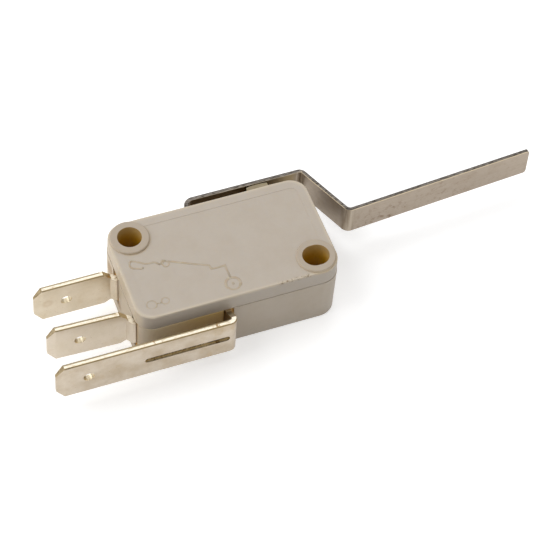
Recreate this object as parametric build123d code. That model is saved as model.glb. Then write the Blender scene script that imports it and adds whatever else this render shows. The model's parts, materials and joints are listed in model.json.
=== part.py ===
"""Snap-action micro switch with a cranked strip lever and three blade terminals.

Millimetres. The switch lies on its large face, z = 0. The origin is on the axis of the round
fixing hole, +X runs along the casing towards the lever's tip, +Y points to the side that the
plunger comes out of, and +Z runs through the thickness, from the base to the cover.
"""
import math
import os

from build123d import *

# Casing
HOLE_PITCH_X = 22.2
HOLE_PITCH_Y = 10.3
HOLE_RADIUS = 1.63
HOLE_SLOT_EXTRA = 0.4
MARGIN_LEFT = 2.95
MARGIN_RIGHT = 2.95
MARGIN_BACK = 2.8
MARGIN_FRONT = 2.8
THICKNESS = 10.3
BOSS_HEIGHT = 0.3
BOSS_RADIUS = 2.62
BASE_HEIGHT = 7.5
WALL = 1.2
FLOOR = 1.2
ROOF = 1.2
CORNER_AT_BOSS = 2.7
CORNER_PLAIN = 2.4
BASE_DRAFT_DEG = 0.6
COVER_DRAFT_DEG = 0.9
PARTING_STEP = 0.06
COVER_EDGE_BREAK = 0.12
RIM_BREAK = 0.1
PANEL_INSET = 1.5
PANEL_DEPTH = 0.03

# Fits
RUNNING_GAP = 0.05
SEAT_GAP = 0.05
REST_GAP = 0.02

# Mechanism's middle plane and the widths along Z
LEVER_WIDTH = 4.6
PLUNGER_WIDTH = 4.3
PLUNGER_TOP_GAP = 0.25
ROOT_WIDTH = 4.4
ROOT_DROP = 0.2
MOUTH_DROP = 0.7
MOUTH_DEPTH = 0.6
MOUTH_GAP = 0.3
NC_MOUTH_ABOVE = 0.9
TAB_WIDTH = 6.3
MID_Z = BASE_HEIGHT - PLUNGER_TOP_GAP - PLUNGER_WIDTH / 2
ROOT_MID_Z = MID_Z - ROOT_DROP

# Plunger
PLUNGER_X = 19.7
PLUNGER_LENGTH_X = 2.95
PLUNGER_TIP_RADIUS = 6.0
PLUNGER_FREE_HEIGHT = 2.46
PLUNGER_WING = 0.5
PLUNGER_WING_LENGTH = 1.6
PLUNGER_FOOT_RADIUS = 0.5
PLUNGER_FOOT_HEIGHT = 0.9

# Lever
LEVER_THICKNESS = 0.5
LEVER_PIVOT_X = 10.2
LEVER_PIVOT_DEPTH = 1.5
LEVER_CURL_RADIUS = 0.75
LEVER_ROOT_BEND = 1.15
LEVER_KNEE_X = 26.3
LEVER_KNEE_BEND = 0.8
LEVER_CRANK_X = 3.7
LEVER_CRANK_Y = 8.3
LEVER_ELBOW_BEND = 0.9
LEVER_ARM_LENGTH = 27.4
LEVER_ARM_DEG = 4.1
LEVER_TIP_ROUND = 0.4
LEVER_TRAVEL_DEG = 7.0

# Rocker under the plunger
ROCKER_THICKNESS = 0.5
ROCKER_WIDTH = 4.0
ROCKER_PIVOT_X = 23.0
ROCKER_PIVOT_Y = -3.3
ROCKER_CURL_RADIUS = 0.5
ROCKER_TRAVEL_DEG = 21.3
ROCKER_BEND_X = 18.3
ROCKER_END_X = 17.0
ROCKER_END_DROP = 1.7
ROCKER_LIP_NEAR = 0.6
ROCKER_LIP_FAR = 1.4

# Terminal strips
STRIP_THICKNESS = 0.8
TAB_HOLE_RADIUS = 0.75
TAB_HOLE_FROM_TIP = 4.35
TAB_TIP_CHAMFER_X = 1.15
TAB_TIP_CHAMFER_Z = 1.5
TAB_TIP_BEVEL_LENGTH = 1.2
TAB_TIP_BEVEL_DEPTH = 0.2
TAB_EDGE_BEVEL = 0.12
SHOULDER_LENGTH = 1.1
STRIP_BEND = 0.45
NC_TIP_X = -14.15
NC_TAB_Y = -3.05
NC_ROOT_Y = -3.55
NC_STEP_X = -1.45
NC_STEP_LENGTH = 0.6
NC_INNER_Y = -4.1
NC_END_X = 4.9
NO_TIP_X = -14.35
NO_TIP_Y = -9.5
NO_TAB_Y = -9.85
NO_ROOT_Y = -10.8
NO_RISER_X = 1.2
NO_END_X = 5.6
JOGGLE_START_X = -3.6
JOGGLE_END_X = -3.0
COM_TIP_X = -15.0
COM_TAB_Y = -15.45
COM_ROOT_X = 9.25
COM_BEND = 0.6
COM_INNER_Y = -10.2
COM_POST_TOP_Y = -4.8
BEAD_LEFT_X = -3.1
BEAD_RIGHT_X = 8.5
BEAD_WIDTH = 0.9
BEAD_DEPTH = 0.3
BEAD_RIDGE_EXTRA = 0.2

# Contacts and contact arm
CONTACT_X = 3.4
CONTACT_GAP = 0.85
BUTTON_RADIUS = 1.2
BUTTON_HEIGHT = 0.5
BUTTON_EDGE = 0.2
SHANK_RADIUS = 0.6
RIVET_SLIP = 0.01
PEENED_RADIUS = 0.8
PEENED_HEIGHT = 0.15
MOVING_BUTTON_RADIUS = 1.1
MOVING_BUTTON_HEIGHT = 0.45
ARM_THICKNESS = 0.3
ARM_WIDTH = 4.2
ARM_TIP_X = 2.05
ARM_TIP_NARROWER = 0.7
ARM_HEAD_LENGTH = 1.6
ARM_PIVOT_X = 15.0
FORK_START_X = 7.4
FORK_GAP = 2.4
FORK_WIDEN_LENGTH = 1.0
FORK_SLOT_RISE = 2.0
NOTCH_DEPTH = 0.35

# Snap spring
SPRING_WIRE_RADIUS = 0.14
SPRING_WIRE_SIDES = 5
SPRING_MEAN_RADIUS = 0.75
SPRING_TURNS = 4
SPRING_BODY_LENGTH = 6.6
SPRING_HOLE_RADIUS = 0.45
SPRING_FIXED_X = 6.3
SPRING_MOVING_X = 17.5
SPRING_FIXED_HOOK = 0.35
SPRING_MOVING_HOOK = 0.45

# Locating pins between base and cover
PIN_RADIUS = 0.5
PIN_HEIGHT = 0.9
PIN_SLIP = 0.03
PIN_END_GAP = 0.1
PIN_POST_RADIUS = 0.95
PIN_FROM_WALL = 0.8
PIN_LEFT_Y = -7.6

# Blocks and ribs inside the base: reaches from the feature that each one holds
LEVER_BLOCK_REACH = 1.5
ROCKER_BLOCK_LEFT = 0.95
ROCKER_BLOCK_BELOW = 1.5
ROCKER_BLOCK_ABOVE = 1.4
GUIDE_RIB_DEPTH = 3.4
GUIDE_RIB_LEFT = 0.7
GUIDE_RIB_RIGHT = 0.6
NC_SEAT_X = (0.7, 1.85)
NC_SEAT_Y = (-1.4, 1.6)
NO_SEAT_END = 0.9
NO_SEAT_ABOVE = 1.2
NO_END_SEAT_X = (-0.7, 0.3)
NO_END_SEAT_Y = (-1.1, 0.9)
COM_SEAT_X = (2.0, 3.5)
COM_SEAT_ABOVE = 1.1
POST_REST_X = 1.0
POST_REST_Y = (0.6, 2.7)

# Tongues and hold-down pads under the cover
TONGUE_DEPTH = 0.9
TONGUE_THICKNESS = 0.7
BACK_TONGUE_X = (12.6, 16.0)
FRONT_TONGUE_X = (14.0, 17.8)
LEFT_TONGUE_Y = (-6.2, -5.3)
RIGHT_TONGUE_Y = (-6.8, -5.2)
NC_PAD_X = (1.0, 1.7)
NO_PAD_X = (-1.2, -0.2)
COM_PAD_X = (11.8, 12.6)

# How far a joined form bites into its neighbour, and how far a cut runs out into the open
BITE = 0.2
OVERRUN = 1.0

# Worked-out places
LEFT = -MARGIN_LEFT
RIGHT = HOLE_PITCH_X + MARGIN_RIGHT
BACK = MARGIN_BACK
FRONT = -HOLE_PITCH_Y - MARGIN_FRONT
COVER_TOP = THICKNESS - BOSS_HEIGHT
CEILING = COVER_TOP - ROOF
INNER_LEFT = LEFT + WALL
INNER_RIGHT = RIGHT - WALL
INNER_BACK = BACK - WALL
INNER_FRONT = FRONT + WALL
HOLES = [(0.0, 0.0), (HOLE_PITCH_X, -HOLE_PITCH_Y)]
PIN_PLACES = [
    (INNER_RIGHT - PIN_FROM_WALL, INNER_BACK - PIN_FROM_WALL),
    (INNER_LEFT + PIN_FROM_WALL, PIN_LEFT_Y),
]
HALF_STRIP = STRIP_THICKNESS / 2
ROOT_LOW = ROOT_MID_Z - ROOT_WIDTH / 2
ROOT_HIGH = ROOT_MID_Z + ROOT_WIDTH / 2
TAB_LOW = MID_Z - TAB_WIDTH / 2
TAB_HIGH = MID_Z + TAB_WIDTH / 2
PLUNGER_TIP_Y = BACK + PLUNGER_FREE_HEIGHT
LEVER_FACE_Y = PLUNGER_TIP_Y + REST_GAP
LEVER_RUN_Y = LEVER_FACE_Y + LEVER_THICKNESS / 2
LEVER_PIVOT_Y = BACK - LEVER_PIVOT_DEPTH
ROCKER_PLATE_Y = ROCKER_PIVOT_Y + ROCKER_CURL_RADIUS
ROCKER_FACE_Y = ROCKER_PLATE_Y + ROCKER_THICKNESS / 2
PLUNGER_FOOT_Y = ROCKER_FACE_Y + REST_GAP
NC_FACE_Y = NC_INNER_Y - HALF_STRIP - BUTTON_HEIGHT
ARM_Y = NC_FACE_Y - MOVING_BUTTON_HEIGHT - ARM_THICKNESS / 2
NO_FACE_Y = ARM_Y - ARM_THICKNESS / 2 - MOVING_BUTTON_HEIGHT - CONTACT_GAP
NO_INNER_Y = NO_FACE_Y - BUTTON_HEIGHT - HALF_STRIP
COM_POST_X = ARM_PIVOT_X - NOTCH_DEPTH + HALF_STRIP
LOW = (Align.MIN, Align.MIN, Align.MIN)
STANDING = (Align.CENTER, Align.CENTER, Align.MIN)


def block(x0, x1, y0, y1, z0, z1):
    """A box between two corners."""
    return Pos(x0, y0, z0) * Box(x1 - x0, y1 - y0, z1 - z0, align=LOW)


def post(x, y, radius, z0, z1):
    """A cylinder along Z."""
    return Pos(x, y, z0) * Cylinder(radius, z1 - z0, align=STANDING)


def rod(x, z, radius, y0, y1):
    """A cylinder along Y, from y0 up to y1."""
    return Pos(x, y0, z) * Rot(-90, 0, 0) * Cylinder(radius, y1 - y0, align=STANDING)


def prism(points, z0, z1):
    """A polygon in the XY plane, raised from z0 to z1."""
    return Pos(0, 0, z0) * extrude(make_face(Polyline(*points, close=True)), amount=z1 - z0)


def strip(edges, thickness, z0, z1):
    """Sheet metal that follows a line in the XY plane, from z0 to z1."""
    return Pos(0, 0, z0) * extrude(trace(edges, line_width=thickness), amount=z1 - z0)


def outline(inset=0.0):
    """The casing's outline, drawn in by the inset."""
    points = [
        (LEFT + inset, BACK - inset),
        (RIGHT - inset, BACK - inset),
        (RIGHT - inset, FRONT + inset),
        (LEFT + inset, FRONT + inset),
    ]
    radii = [max(r - inset, 0.3) for r in (CORNER_AT_BOSS, CORNER_PLAIN, CORNER_AT_BOSS, CORNER_PLAIN)]
    return make_face(FilletPolyline(*points, radius=radii, close=True))


def slab(inset, z0, z1):
    """The casing's outline raised from z0 to z1."""
    return Pos(0, 0, z0) * extrude(outline(inset), amount=z1 - z0)


def fixing_holes(z0, z1):
    """The round hole, and the other one, a little longer along X to take up tolerance."""
    round_hole = post(*HOLES[0], HOLE_RADIUS, z0, z1)
    long_hole = SlotOverall(2 * HOLE_RADIUS + HOLE_SLOT_EXTRA, 2 * HOLE_RADIUS)
    return round_hole + Pos(*HOLES[1], z0) * extrude(long_hole, amount=z1 - z0)


def strip_seat(x0, x1, y0, y1, strip_y):
    """A rib from the base's floor with a slot that holds a terminal strip running along X."""
    rib = block(x0, x1, y0, y1, FLOOR / 2, BASE_HEIGHT)
    half = HALF_STRIP + SEAT_GAP
    low = ROOT_LOW - SEAT_GAP
    high = BASE_HEIGHT + OVERRUN
    return rib - block(x0 - OVERRUN, x1 + OVERRUN, strip_y - half, strip_y + half, low, high)


def lever_pocket():
    """The space in the base for the lever's curled root and for the swing of its leg."""
    reach = LEVER_CURL_RADIUS + LEVER_THICKNESS / 2
    low = MID_Z - LEVER_WIDTH / 2 - RUNNING_GAP
    swing = math.radians(LEVER_TRAVEL_DEG)
    inner = reach - LEVER_THICKNESS
    rise = BACK + OVERRUN - LEVER_PIVOT_Y
    near = LEVER_PIVOT_X - reach - RUNNING_GAP
    far_low = LEVER_PIVOT_X - inner / math.cos(swing) + RUNNING_GAP
    far_high = far_low + rise * math.tan(swing)
    mouth = [
        (near, LEVER_PIVOT_Y),
        (near, LEVER_PIVOT_Y + rise),
        (far_high, LEVER_PIVOT_Y + rise),
        (far_low, LEVER_PIVOT_Y),
    ]
    barrel = post(LEVER_PIVOT_X, LEVER_PIVOT_Y, reach + RUNNING_GAP, low, BASE_HEIGHT + OVERRUN)
    return barrel + prism(mouth, low, BASE_HEIGHT + OVERRUN)


def rocker_pocket():
    """The space in the base for the rocker's curled root and for the swing of its plate."""
    reach = ROCKER_CURL_RADIUS + ROCKER_THICKNESS / 2
    low = MID_Z - ROCKER_WIDTH / 2 - RUNNING_GAP
    swing = math.radians(ROCKER_TRAVEL_DEG)
    under = reach - ROCKER_THICKNESS
    lip = ROCKER_PIVOT_Y + under / math.cos(swing) - 2 * RUNNING_GAP
    lip_far = lip - ROCKER_LIP_FAR * math.tan(swing)
    lip_near = lip - ROCKER_LIP_NEAR * math.tan(swing)
    top = ROCKER_FACE_Y + RUNNING_GAP
    mouth = [
        (ROCKER_PIVOT_X, top),
        (ROCKER_PIVOT_X - ROCKER_LIP_FAR, top),
        (ROCKER_PIVOT_X - ROCKER_LIP_FAR, lip_far),
        (ROCKER_PIVOT_X - ROCKER_LIP_NEAR, lip_near),
        (ROCKER_PIVOT_X, ROCKER_PIVOT_Y),
    ]
    barrel = post(ROCKER_PIVOT_X, ROCKER_PIVOT_Y, reach + RUNNING_GAP, low, BASE_HEIGHT + OVERRUN)
    return barrel + prism(mouth, low, BASE_HEIGHT + OVERRUN)


def plunger_guide():
    """The way through the base's back wall for the plunger."""
    half = PLUNGER_LENGTH_X / 2 + RUNNING_GAP
    low = MID_Z - PLUNGER_WIDTH / 2 - RUNNING_GAP
    back = BACK + OVERRUN
    return block(PLUNGER_X - half, PLUNGER_X + half, INNER_BACK - OVERRUN, back, low, BASE_HEIGHT + OVERRUN)


def terminal_slots():
    """The ways through the base's walls for the three terminal strips."""
    half = HALF_STRIP + SEAT_GAP
    wide = half + MOUTH_GAP
    mouth_low = ROOT_LOW - MOUTH_DROP
    seat_low = ROOT_LOW - SEAT_GAP
    high = BASE_HEIGHT + OVERRUN
    depth = WALL + CORNER_PLAIN
    open_y = FRONT - OVERRUN
    open_x = LEFT - OVERRUN
    cuts = block(COM_ROOT_X - wide, COM_ROOT_X + wide, open_y, FRONT + MOUTH_DEPTH, mouth_low, high)
    cuts += block(COM_ROOT_X - half, COM_ROOT_X + half, FRONT, FRONT + depth, seat_low, high)
    for y, above in ((NC_ROOT_Y, half + NC_MOUTH_ABOVE), (NO_ROOT_Y, wide)):
        cuts += block(open_x, LEFT + MOUTH_DEPTH, y - wide, y + above, mouth_low, high)
        cuts += block(LEFT, LEFT + depth, y - half, y + half, seat_low, high)
    return cuts


def base_casing():
    """The moulded tray: walls, hole bosses, terminal seats, pivots and the plunger's guide."""
    drafted = extrude(outline(), amount=BASE_HEIGHT, dir=(0, 0, -1), taper=BASE_DRAFT_DEG)
    body = Pos(0, 0, BASE_HEIGHT) * drafted
    tray = body - slab(WALL, FLOOR, BASE_HEIGHT + OVERRUN)
    inside = slab(WALL / 2, 0, BASE_HEIGHT)
    low = FLOOR / 2
    high = BASE_HEIGHT
    reach = LEVER_BLOCK_REACH
    fittings = block(LEVER_PIVOT_X - reach, LEVER_PIVOT_X + reach, LEVER_PIVOT_Y - reach, BACK, low, high)
    below = ROCKER_PIVOT_Y - ROCKER_BLOCK_BELOW
    above = ROCKER_PIVOT_Y + ROCKER_BLOCK_ABOVE
    fittings += block(ROCKER_PIVOT_X - ROCKER_BLOCK_LEFT, RIGHT, below, above, low, high)
    guide = PLUNGER_LENGTH_X / 2 + PLUNGER_WING + RUNNING_GAP
    for side, breadth in ((-1, GUIDE_RIB_LEFT), (1, GUIDE_RIB_RIGHT)):
        edge = PLUNGER_X + side * guide
        other = edge + side * breadth
        fittings += block(min(edge, other), max(edge, other), INNER_BACK - GUIDE_RIB_DEPTH, BACK, low, high)
    no_end = [NO_END_X + x for x in NO_END_SEAT_X]
    com_seat = [COM_ROOT_X + x for x in COM_SEAT_X]
    seats = [
        (NC_SEAT_X, NC_SEAT_Y, NC_INNER_Y),
        ((LEFT, NO_RISER_X - NO_SEAT_END), (FRONT - NO_ROOT_Y, NO_SEAT_ABOVE), NO_ROOT_Y),
        (no_end, NO_END_SEAT_Y, NO_INNER_Y),
        (com_seat, (FRONT - COM_INNER_Y, COM_SEAT_ABOVE), COM_INNER_Y),
    ]
    for along, across, strip_y in seats:
        fittings += strip_seat(*along, strip_y + across[0], strip_y + across[1], strip_y)
    rest = COM_POST_X + HALF_STRIP + SEAT_GAP
    rest_low, rest_high = [COM_INNER_Y + y for y in POST_REST_Y]
    fittings += block(rest, rest + POST_REST_X, rest_low, rest_high, low, high)
    for x, y in HOLES:
        fittings += post(x, y, BOSS_RADIUS, 0, high)
    for x, y in PIN_PLACES:
        fittings += post(x, y, PIN_POST_RADIUS, low, high)
    tray += fittings & inside
    tray -= fixing_holes(-OVERRUN, high + OVERRUN)
    tray -= terminal_slots()
    tray -= plunger_guide()
    tray -= lever_pocket()
    tray -= rocker_pocket()
    for x, y in PIN_PLACES:
        tray += post(x, y, PIN_RADIUS, high - BITE, high + PIN_HEIGHT)
    return tray


def cover():
    """The moulded lid: roof, skirt, raised hole bosses, tongues and the strips' hold-down pads."""
    depth = COVER_TOP - BASE_HEIGHT
    top = outline(PARTING_STEP + depth * math.tan(math.radians(COVER_DRAFT_DEG)))
    shell = Pos(0, 0, COVER_TOP) * extrude(top, amount=depth, dir=(0, 0, -1), taper=-COVER_DRAFT_DEG)
    shell = chamfer(shell.edges().group_by(Axis.Z)[-1], COVER_EDGE_BREAK)
    shell -= slab(WALL, BASE_HEIGHT - OVERRUN, CEILING)
    shell -= slab(PANEL_INSET, COVER_TOP - PANEL_DEPTH, COVER_TOP + OVERRUN)
    for x, y in HOLES:
        boss = post(x, y, BOSS_RADIUS, BASE_HEIGHT, THICKNESS)
        shell += chamfer(boss.edges().group_by(Axis.Z)[-1], RIM_BREAK)
    shell -= fixing_holes(BASE_HEIGHT - OVERRUN, THICKNESS + OVERRUN)
    deep = BASE_HEIGHT - TONGUE_DEPTH
    high = CEILING + BITE
    wall_left = INNER_LEFT + SEAT_GAP
    wall_right = INNER_RIGHT - SEAT_GAP
    wall_back = INNER_BACK - SEAT_GAP
    wall_front = INNER_FRONT + SEAT_GAP
    shell += block(*BACK_TONGUE_X, wall_back - TONGUE_THICKNESS, wall_back, deep, high)
    shell += block(*FRONT_TONGUE_X, wall_front, wall_front + TONGUE_THICKNESS, deep, high)
    shell += block(wall_left, wall_left + TONGUE_THICKNESS, *LEFT_TONGUE_Y, deep, high)
    shell += block(wall_right - TONGUE_THICKNESS, wall_right, *RIGHT_TONGUE_Y, deep, high)
    half = HALF_STRIP - SEAT_GAP
    for across, y in ((NC_PAD_X, NC_INNER_Y), (NO_PAD_X, NO_ROOT_Y), (COM_PAD_X, COM_INNER_Y)):
        shell += block(*across, y - half, y + half, ROOT_HIGH + SEAT_GAP, high)
    for x, y in PIN_PLACES:
        shell += post(x, y, PIN_POST_RADIUS, BASE_HEIGHT, high)
        end = BASE_HEIGHT + PIN_HEIGHT + PIN_END_GAP
        shell -= post(x, y, PIN_RADIUS + PIN_SLIP, BASE_HEIGHT - OVERRUN, end)
    return shell


def plunger():
    """The plunger, held in by its wings, with a narrow foot that presses on the rocker."""
    low = MID_Z - PLUNGER_WIDTH / 2
    high = MID_Z + PLUNGER_WIDTH / 2
    half = PLUNGER_LENGTH_X / 2
    stem_bottom = PLUNGER_FOOT_Y + PLUNGER_FOOT_HEIGHT
    stem = block(PLUNGER_X - half, PLUNGER_X + half, stem_bottom, PLUNGER_TIP_Y, low, high)
    stem &= post(PLUNGER_X, PLUNGER_TIP_Y - PLUNGER_TIP_RADIUS, PLUNGER_TIP_RADIUS, low, high) + block(
        PLUNGER_X - half, PLUNGER_X + half, stem_bottom, PLUNGER_TIP_Y - 1, low, high
    )
    wing_top = INNER_BACK - RUNNING_GAP
    wide = half + PLUNGER_WING
    stem += block(PLUNGER_X - wide, PLUNGER_X + wide, wing_top - PLUNGER_WING_LENGTH, wing_top, low, high)
    foot = post(PLUNGER_X, PLUNGER_FOOT_Y + PLUNGER_FOOT_RADIUS, PLUNGER_FOOT_RADIUS, low, high)
    foot += block(
        PLUNGER_X - PLUNGER_FOOT_RADIUS,
        PLUNGER_X + PLUNGER_FOOT_RADIUS,
        PLUNGER_FOOT_Y + PLUNGER_FOOT_RADIUS,
        stem_bottom + 0.1,
        low,
        high,
    )
    return stem + foot


def lever():
    """The auxiliary lever: one strip, curled at its root and cranked past the casing's end."""
    leg_x = LEVER_PIVOT_X - LEVER_CURL_RADIUS
    elbow = (LEVER_KNEE_X + LEVER_CRANK_X, LEVER_RUN_Y - LEVER_CRANK_Y)
    slope = math.radians(LEVER_ARM_DEG)
    tip = (elbow[0] + LEVER_ARM_LENGTH * math.cos(slope), elbow[1] + LEVER_ARM_LENGTH * math.sin(slope))
    run = FilletPolyline(
        (leg_x, LEVER_PIVOT_Y),
        (leg_x, LEVER_RUN_Y),
        (LEVER_KNEE_X, LEVER_RUN_Y),
        elbow,
        tip,
        radius=[LEVER_ROOT_BEND, LEVER_KNEE_BEND, LEVER_ELBOW_BEND],
    )
    curl = CenterArc((LEVER_PIVOT_X, LEVER_PIVOT_Y), LEVER_CURL_RADIUS, 180, 265)
    low = MID_Z - LEVER_WIDTH / 2
    high = MID_Z + LEVER_WIDTH / 2
    bar = strip(run.edges() + curl.edges(), LEVER_THICKNESS, low, high)
    tip_edges = bar.edges().filter_by(Axis.Z, reverse=True).group_by(Axis.X)[-1]
    return fillet(tip_edges.filter_by(lambda e: e.length < 2 * LEVER_THICKNESS), LEVER_TIP_ROUND)


def tab_end(tip, root):
    """What is cut from a strip to form its tab's end: corners, lead-in bevels and the hole."""
    along = Vector(*root) - Vector(*tip)
    place = Location(Plane(origin=(tip[0], tip[1], MID_Z), x_dir=(along.X, along.Y, 0), z_dir=(0, 0, 1)))
    half = TAB_WIDTH / 2
    cuts = Pos(TAB_HOLE_FROM_TIP, 0, 0) * Rot(90, 0, 0) * Cylinder(TAB_HOLE_RADIUS, 4)
    for side in (-1, 1):
        corner = make_face(
            Polyline(
                (-1, side * (half + 1)),
                (-1, side * (half - TAB_TIP_CHAMFER_Z)),
                (0, side * (half - TAB_TIP_CHAMFER_Z)),
                (TAB_TIP_CHAMFER_X, side * half),
                (TAB_TIP_CHAMFER_X, side * (half + 1)),
                close=True,
            )
        )
        cuts += Rot(90, 0, 0) * extrude(corner, amount=2, both=True)
        bevel = [
            (-1, side * 2),
            (-1, side * (HALF_STRIP - TAB_TIP_BEVEL_DEPTH)),
            (0, side * (HALF_STRIP - TAB_TIP_BEVEL_DEPTH)),
            (TAB_TIP_BEVEL_LENGTH, side * HALF_STRIP),
            (TAB_TIP_BEVEL_LENGTH, side * 2),
        ]
        cuts += prism(bevel, -TAB_WIDTH, TAB_WIDTH)
    return place * cuts


def bevelled(tab, tip, length):
    """Breaks the tab's four long edges."""
    long_edges = tab.edges().filter_by(
        lambda e: e.geom_type == GeomType.LINE
        and e.length > length
        and abs(e.center().Z - MID_Z) > TAB_WIDTH / 2 - 0.01
        and e.center().X < tip[0] + 2.2 * length
    )
    return chamfer(long_edges, TAB_EDGE_BEVEL)


def shoulder(start, end):
    """What is cut from a strip's two edges to narrow it to its root: drawn along X, height along Y."""
    far = end + 40
    top = TAB_HIGH - MID_Z
    root_top = ROOT_HIGH - MID_Z
    root_low = ROOT_LOW - MID_Z
    upper = [(start, top), (start, top + 1), (far, top + 1), (far, root_top), (end, root_top)]
    lower = [(start, -top), (start, -top - 1), (far, -top - 1), (far, root_low), (end, root_low)]
    return make_face(Polyline(*upper, close=True)) + make_face(Polyline(*lower, close=True))


def side_terminal(tip, line, contact_y):
    """A tab with a shoulder that narrows it to its root, joggled into the casing's end wall."""
    blade = strip(line.edges(), STRIP_THICKNESS, TAB_LOW, TAB_HIGH)
    profile = shoulder(JOGGLE_START_X - SHOULDER_LENGTH, JOGGLE_START_X)
    blade -= Pos(0, line.center().Y, MID_Z) * Rot(90, 0, 0) * extrude(profile, amount=8, both=True)
    blade = bevelled(blade, tip, 6)
    blade -= tab_end(tip, line @ 0.3)
    return blade - rod(CONTACT_X, MID_Z, SHANK_RADIUS + RIVET_SLIP, contact_y - 1, contact_y + 1)


def nc_terminal():
    """Normally closed terminal: a joggled tab whose inner end carries the upper fixed contact."""
    tip = (NC_TIP_X, NC_TAB_Y)
    line = FilletPolyline(
        tip,
        (JOGGLE_START_X, NC_TAB_Y),
        (JOGGLE_END_X, NC_ROOT_Y),
        (NC_STEP_X, NC_ROOT_Y),
        (NC_STEP_X + NC_STEP_LENGTH, NC_INNER_Y),
        (NC_END_X, NC_INNER_Y),
        radius=[STRIP_BEND, STRIP_BEND, STRIP_BEND, STRIP_BEND],
    )
    return side_terminal(tip, line, NC_INNER_Y)


def no_terminal():
    """Normally open terminal: the lower tab, whose inner end steps up under the moving contact."""
    tip = (NO_TIP_X, NO_TIP_Y)
    line = FilletPolyline(
        tip,
        (JOGGLE_START_X, NO_TAB_Y),
        (JOGGLE_END_X, NO_ROOT_Y),
        (NO_RISER_X, NO_ROOT_Y),
        (NO_RISER_X + 0.5, NO_INNER_Y),
        (NO_END_X, NO_INNER_Y),
        radius=[STRIP_BEND, STRIP_BEND, STRIP_BEND, STRIP_BEND],
    )
    return side_terminal(tip, line, NO_INNER_Y)


def com_terminal():
    """Common terminal: the long beaded tab, bent into the casing's side, with the arm's post."""
    tip = (COM_TIP_X, COM_TAB_Y)
    line = FilletPolyline(
        tip,
        (COM_ROOT_X, COM_TAB_Y),
        (COM_ROOT_X, COM_INNER_Y),
        (COM_POST_X, COM_INNER_Y),
        (COM_POST_X, COM_POST_TOP_Y),
        radius=[COM_BEND, COM_BEND, COM_BEND],
    )
    tab = strip(line.edges(), STRIP_THICKNESS, TAB_LOW, TAB_HIGH)
    profile = shoulder(COM_TAB_Y + COM_BEND, FRONT - SEAT_GAP)
    tab -= Pos(COM_ROOT_X, 0, MID_Z) * Rot(0, 0, 90) * Rot(90, 0, 0) * extrude(profile, amount=12, both=True)
    tab = bevelled(tab, tip, 10)
    bead_length = BEAD_RIGHT_X - BEAD_LEFT_X
    bead_x = (BEAD_LEFT_X + BEAD_RIGHT_X) / 2
    ridge = SlotOverall(bead_length + BEAD_RIDGE_EXTRA, BEAD_WIDTH + BEAD_RIDGE_EXTRA)
    groove = SlotOverall(bead_length, BEAD_WIDTH)
    face_back = COM_TAB_Y + HALF_STRIP
    face_front = COM_TAB_Y - HALF_STRIP
    upright = Rot(90, 0, 0)
    tab += Pos(bead_x, face_back + 0.7 * BEAD_DEPTH, MID_Z) * upright * extrude(ridge, amount=BEAD_DEPTH)
    tab -= Pos(bead_x, face_front + BEAD_DEPTH, MID_Z) * upright * extrude(groove, amount=1)
    notch = [
        (COM_POST_X - HALF_STRIP - 1, ARM_Y + 1 + NOTCH_DEPTH),
        (COM_POST_X - HALF_STRIP + NOTCH_DEPTH + RUNNING_GAP, ARM_Y),
        (COM_POST_X - HALF_STRIP - 1, ARM_Y - 1 - NOTCH_DEPTH),
    ]
    tab -= prism(notch, 0, THICKNESS)
    half_gap = FORK_GAP / 2
    low = COM_INNER_Y + FORK_SLOT_RISE
    tab -= block(COM_POST_X - 1, COM_POST_X + 1, low, 0, MID_Z - half_gap, MID_Z + half_gap)
    return tab - tab_end(tip, (COM_ROOT_X, COM_TAB_Y))


def fixed_contact(strip_y, side):
    """A silver rivet set in a terminal strip. Side is +1 if its button faces +Y."""
    face = strip_y + side * (HALF_STRIP + BUTTON_HEIGHT)
    near = strip_y + side * HALF_STRIP
    far = strip_y - side * HALF_STRIP
    end = far - side * PEENED_HEIGHT
    button = rod(CONTACT_X, MID_Z, BUTTON_RADIUS, min(face, near), max(face, near))
    edges = button.edges().filter_by(lambda e: abs(e.center().Y - face) < 0.01)
    rivet = chamfer(edges, BUTTON_EDGE)
    rivet += rod(CONTACT_X, MID_Z, SHANK_RADIUS, min(near, far), max(near, far))
    return rivet + rod(CONTACT_X, MID_Z, PEENED_RADIUS, min(far, end), max(far, end))


def moving_contact():
    """The double-faced rivet in the contact arm."""
    half = ARM_THICKNESS / 2
    top = ARM_Y + half + MOVING_BUTTON_HEIGHT
    bottom = ARM_Y - half - MOVING_BUTTON_HEIGHT
    upper = rod(CONTACT_X, MID_Z, MOVING_BUTTON_RADIUS, ARM_Y + half, top)
    upper = chamfer(upper.edges().filter_by(lambda e: abs(e.center().Y - top) < 0.01), BUTTON_EDGE)
    lower = rod(CONTACT_X, MID_Z, MOVING_BUTTON_RADIUS, bottom, ARM_Y - half)
    lower = chamfer(lower.edges().filter_by(lambda e: abs(e.center().Y - bottom) < 0.01), BUTTON_EDGE)
    return upper + lower + rod(CONTACT_X, MID_Z, SHANK_RADIUS, ARM_Y - half, ARM_Y + half)


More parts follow.
